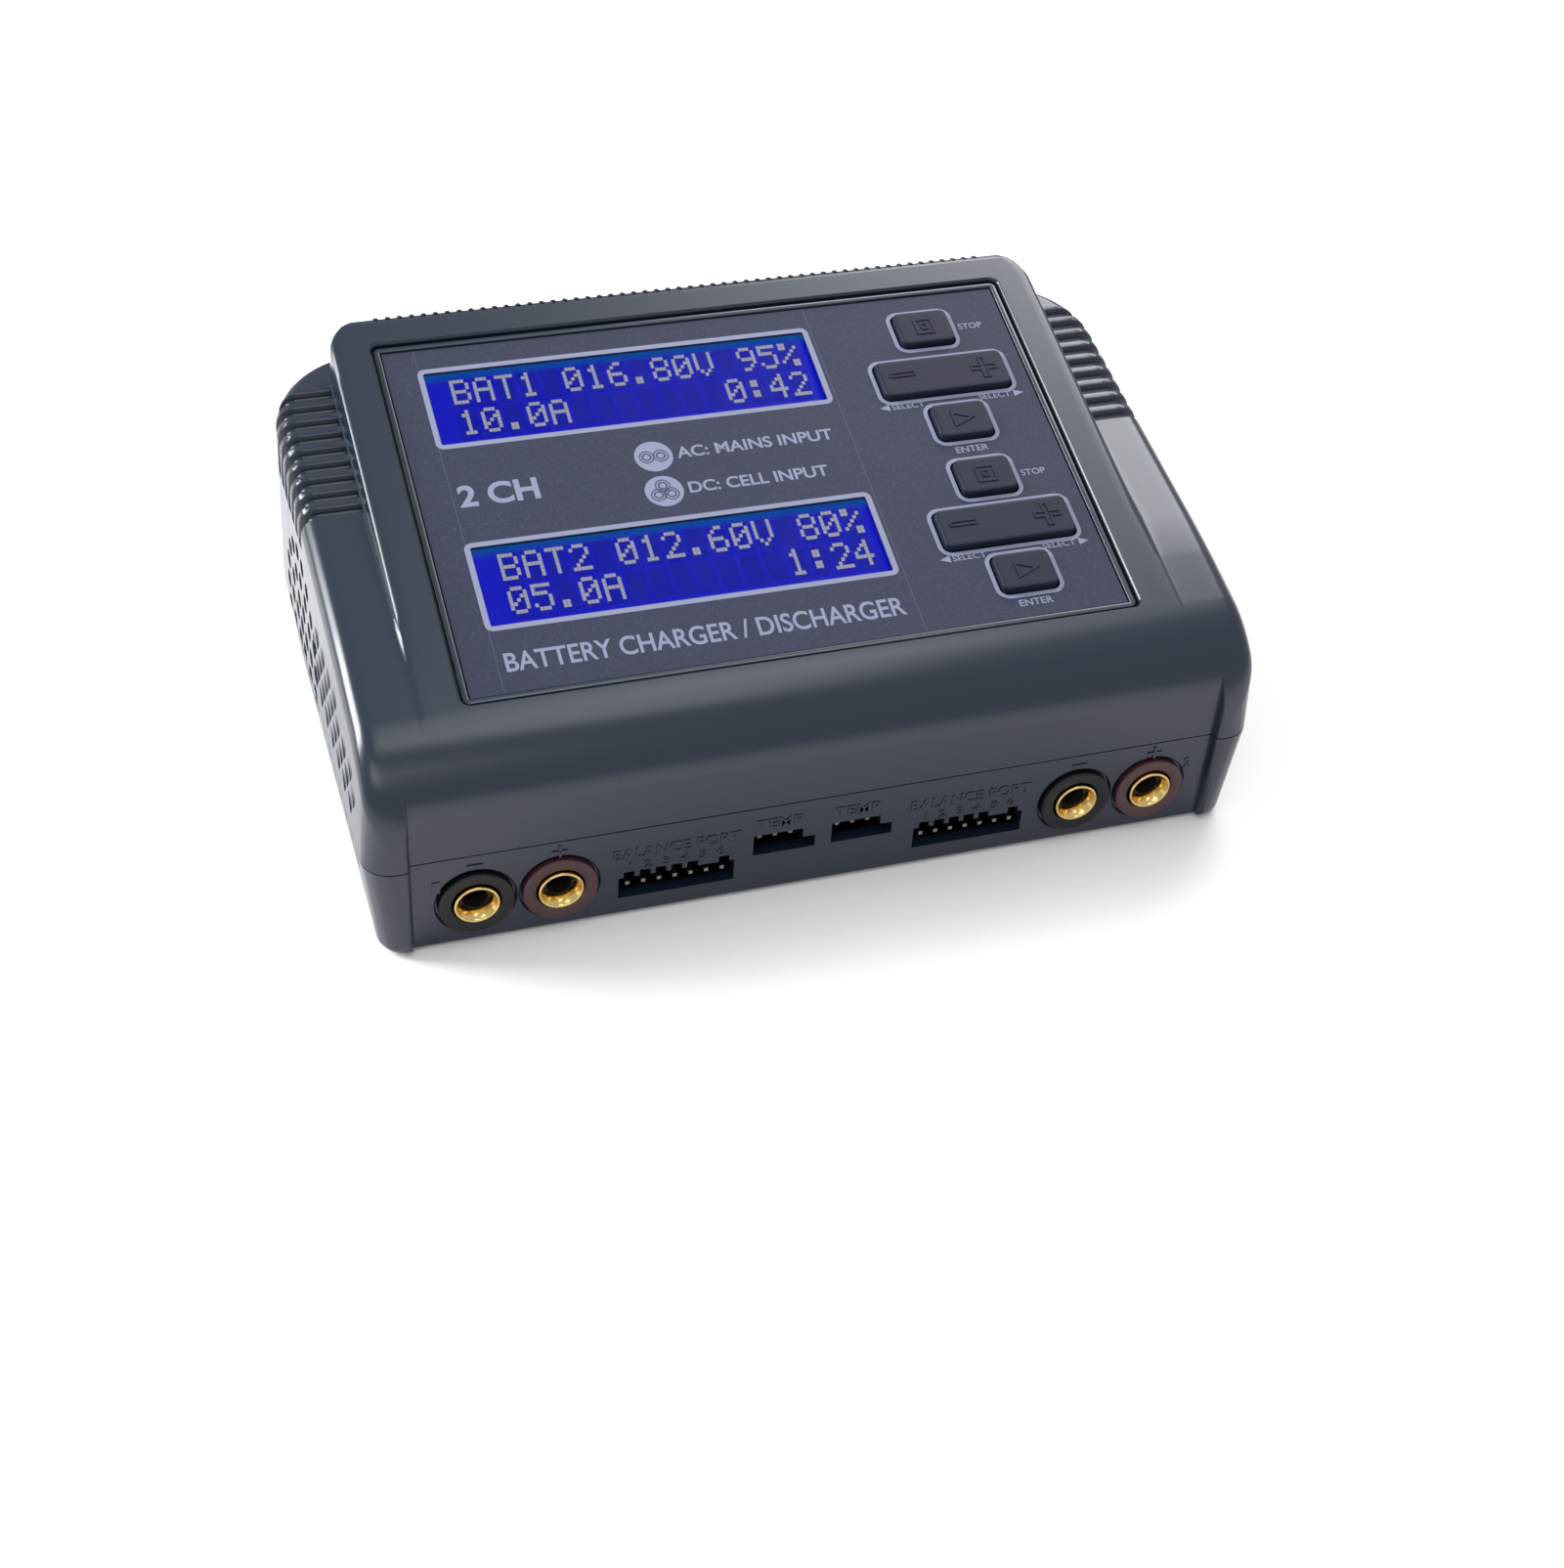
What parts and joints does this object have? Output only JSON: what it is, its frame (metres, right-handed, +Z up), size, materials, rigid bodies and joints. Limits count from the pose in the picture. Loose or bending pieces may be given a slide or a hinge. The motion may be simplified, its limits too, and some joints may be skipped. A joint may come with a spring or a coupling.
{
  "type": "balance battery charger",
  "caption": "Desktop balance charger with two displays on a sloping top, push and rocker keys, output sockets, pin headers, inlets and a side fan.",
  "frame": {"origin": "under the middle of the bounding box, on the surface that the feet stand on", "axes": "+X to the right seen from the front, +Y to the rear, +Z up"},
  "size_m": [0.142, 0.0886, 0.0569],
  "materials": {
    "case_abs": "fine satin texture, dark slate",
    "label_film": "fine grained matte overlay, purple grey",
    "clear_film": "clear polyester window",
    "black_steel": "black coated sheet steel",
    "lcd_blue": "backlit blue display glass",
    "circuit_board": "green solder mask",
    "key_plastic": "satin, dark slate",
    "black_nylon": "satin black",
    "red_nylon": "satin dark red",
    "yellow_nylon": "satin yellow",
    "gold_plate": "polished gold plate on brass",
    "tinned_pins": "bright tin plate",
    "ferrite": "matt dark grey ferrite",
    "yellow_tape": "polyester tape",
    "capacitor_sleeve": "blue shrink sleeve",
    "copper_wire": "enamelled copper",
    "aluminium": "extruded, satin",
    "fuse_glass": "clear tube",
    "screw_steel": "zinc plated",
    "foot_rubber": "matt"
  },
  "bodies": {
    "housing": {"upper_shell": "case_abs", "lower_shell": "case_abs", "label_plate": "label_film", "lcd_window_1": "clear_film", "lcd_window_2": "clear_film", "lcd_bezel_1": "black_steel", "lcd_bezel_2": "black_steel", "lcd_glass_1": "lcd_blue", "lcd_glass_2": "lcd_blue", "lcd_board_1": "circuit_board", "lcd_board_2": "circuit_board", "key_board": "circuit_board", "output_sleeve_minus_1": "black_nylon", "output_sleeve_plus_1": "red_nylon", "output_sleeve_minus_2": "black_nylon", "output_sleeve_plus_2": "red_nylon", "output_contact_minus_1": "gold_plate", "output_contact_plus_1": "gold_plate", "output_contact_minus_2": "gold_plate", "output_contact_plus_2": "gold_plate", "balance_1_header": "black_nylon", "balance_2_header": "black_nylon", "temp_1_header": "black_nylon", "temp_2_header": "black_nylon", "balance_1_pins": "tinned_pins", "balance_2_pins": "tinned_pins", "temp_1_pins": "tinned_pins", "temp_2_pins": "tinned_pins", "socket_board": "circuit_board", "main_board": "circuit_board", "ac_inlet": "black_nylon", "ac_inlet_pins": "tinned_pins", "dc_inlet": "yellow_nylon", "dc_inlet_pins": "gold_plate", "fan_frame": "black_nylon", "transformer_core": "ferrite", "transformer_winding": "yellow_tape", "bulk_capacitor_1": "capacitor_sleeve", "bulk_capacitor_2": "capacitor_sleeve", "toroid_coil": "copper_wire", "heatsink": "aluminium", "power_transistor": "black_nylon", "mains_fuse": "fuse_glass", "buzzer": "black_nylon", "case_screw_front_left": "screw_steel", "rubber_foot_front_left": "foot_rubber", "case_screw_front_right": "screw_steel", "rubber_foot_front_right": "foot_rubber", "case_screw_rear_left": "screw_steel", "rubber_foot_rear_left": "foot_rubber", "case_screw_rear_right": "screw_steel", "rubber_foot_rear_right": "foot_rubber"},
    "stop_key_1": {"stop_key_1": "key_plastic"},
    "rocker_key_1": {"rocker_key_1": "key_plastic"},
    "enter_key_1": {"enter_key_1": "key_plastic"},
    "stop_key_2": {"stop_key_2": "key_plastic"},
    "rocker_key_2": {"rocker_key_2": "key_plastic"},
    "enter_key_2": {"enter_key_2": "key_plastic"},
    "fan_rotor": {"fan_rotor": "black_nylon"}
  },
  "joints": [
    {"name": "stop_key_1_press", "type": "slide", "parent": "housing", "child": "stop_key_1", "axis": [0, -0.2605, 0.9655], "range_m": [-0.0004, 0], "stiffness_N_per_m": 200, "springref_m": 0.0003},
    {"name": "rocker_key_1_rock", "type": "hinge", "parent": "housing", "child": "rocker_key_1", "pos_m": [0.0376, 0.0196, 0.04603], "axis": [0, 0.9655, 0.2605], "range_deg": [-2, 2], "stiffness_Nm_per_rad": 0.02},
    {"name": "enter_key_1_press", "type": "slide", "parent": "housing", "child": "enter_key_1", "axis": [0, -0.2605, 0.9655], "range_m": [-0.0004, 0], "stiffness_N_per_m": 200, "springref_m": 0.0003},
    {"name": "stop_key_2_press", "type": "slide", "parent": "housing", "child": "stop_key_2", "axis": [0, -0.2605, 0.9655], "range_m": [-0.0004, 0], "stiffness_N_per_m": 200, "springref_m": 0.0003},
    {"name": "rocker_key_2_rock", "type": "hinge", "parent": "housing", "child": "rocker_key_2", "pos_m": [0.0376, -0.01135, 0.03768], "axis": [0, 0.9655, 0.2605], "range_deg": [-2, 2], "stiffness_Nm_per_rad": 0.02},
    {"name": "enter_key_2_press", "type": "slide", "parent": "housing", "child": "enter_key_2", "axis": [0, -0.2605, 0.9655], "range_m": [-0.0004, 0], "stiffness_N_per_m": 200, "springref_m": 0.0003},
    {"name": "fan_spin", "type": "hinge", "parent": "housing", "child": "fan_rotor", "pos_m": [-0.0622, 0.01125, 0.022], "axis": [1, 0, 0], "continuous": true}
  ]
}
